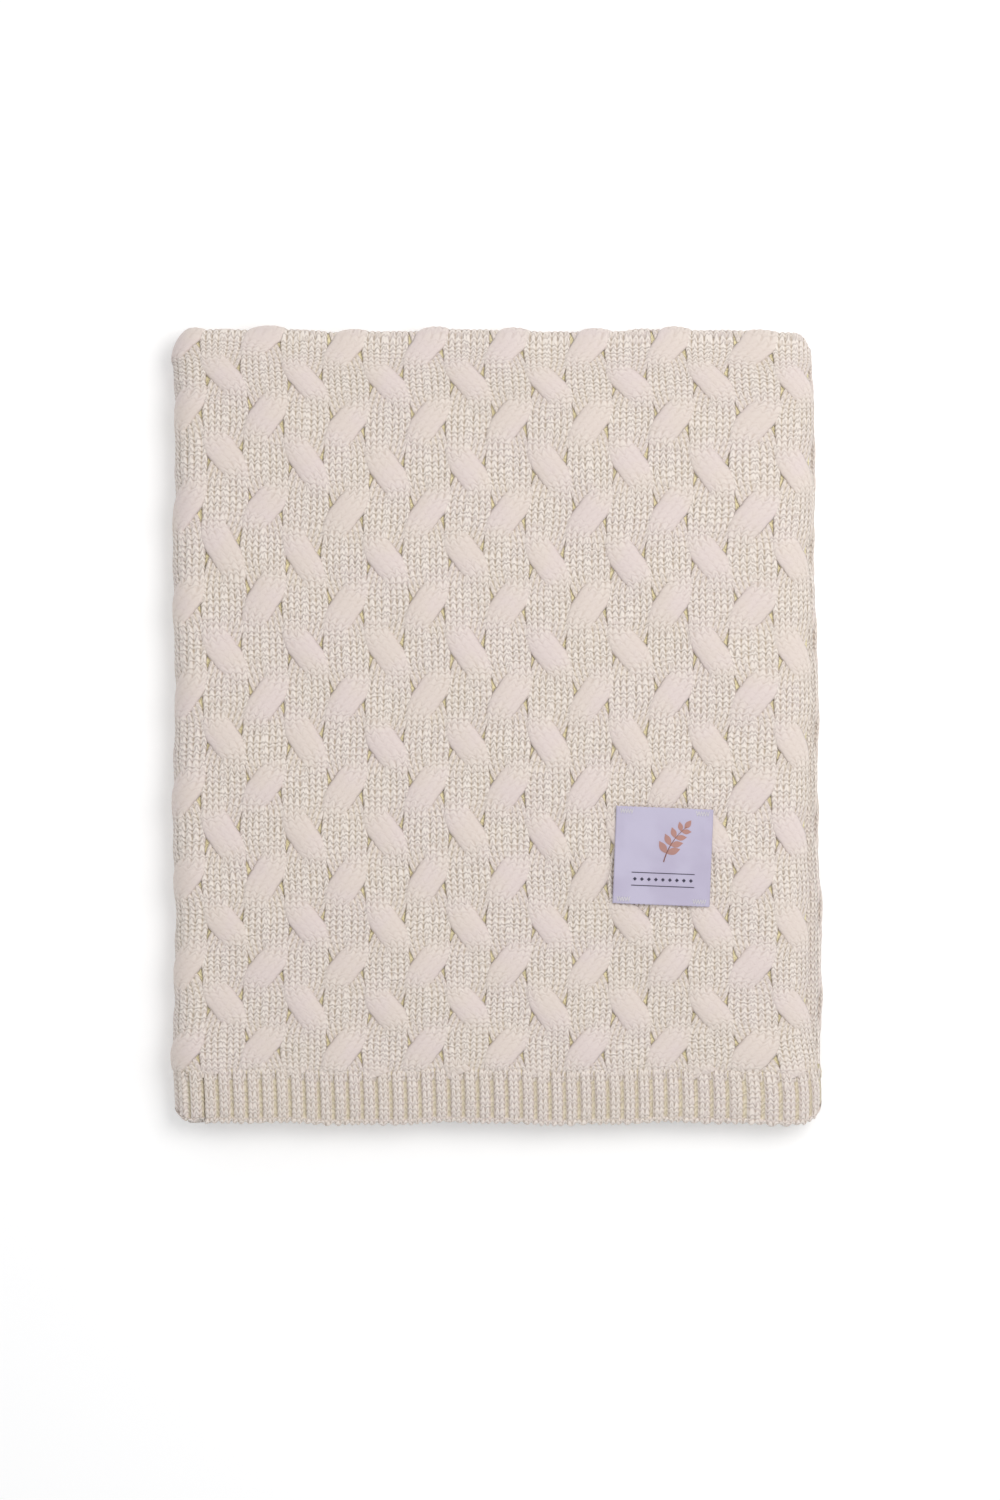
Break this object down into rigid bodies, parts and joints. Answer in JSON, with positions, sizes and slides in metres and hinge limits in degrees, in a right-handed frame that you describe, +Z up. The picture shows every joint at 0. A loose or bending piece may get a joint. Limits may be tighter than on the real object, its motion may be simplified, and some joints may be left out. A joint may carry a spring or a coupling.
{
  "type": "folded throw blanket",
  "caption": "Cable-knit throw blanket folded in quarters, with ribbed hems and a small sewn-on label; the upper half opens about the side fold.",
  "frame": {"origin": "centre of the folded blanket's footprint, on the surface it lies on", "axes": "+X across, from the side fold to the open side; +Y along, from the hems to the top folds; +Z up"},
  "size_m": [0.404, 0.495, 0.0386],
  "materials": {
    "cable_knit": "matte",
    "rib_knit": "matte",
    "label_satin": "satin",
    "sewing_thread": "satin"
  },
  "bodies": {
    "lower_half": {"lower_outer_leaf": "cable_knit", "lower_inner_leaf": "cable_knit", "lower_top_fold": "cable_knit", "lower_outer_hem": "rib_knit", "lower_inner_hem": "rib_knit", "outer_side_fold": "cable_knit", "inner_side_fold": "cable_knit"},
    "upper_half": {"upper_outer_leaf": "cable_knit", "upper_inner_leaf": "cable_knit", "upper_top_fold": "cable_knit", "upper_outer_hem": "rib_knit", "upper_inner_hem": "rib_knit", "woven_label": "label_satin", "label_stitch_top_left": "sewing_thread", "label_stitch_top_right": "sewing_thread", "label_stitch_bottom_left": "sewing_thread", "label_stitch_bottom_right": "sewing_thread"}
  },
  "joints": [
    {"name": "side_fold", "type": "hinge", "parent": "lower_half", "child": "upper_half", "pos_m": [-0.1838, 0, 0.0182], "axis": [0, -1, 0], "range_deg": [0, 179.5], "deforming": ["outer_side_fold", "inner_side_fold"]}
  ]
}
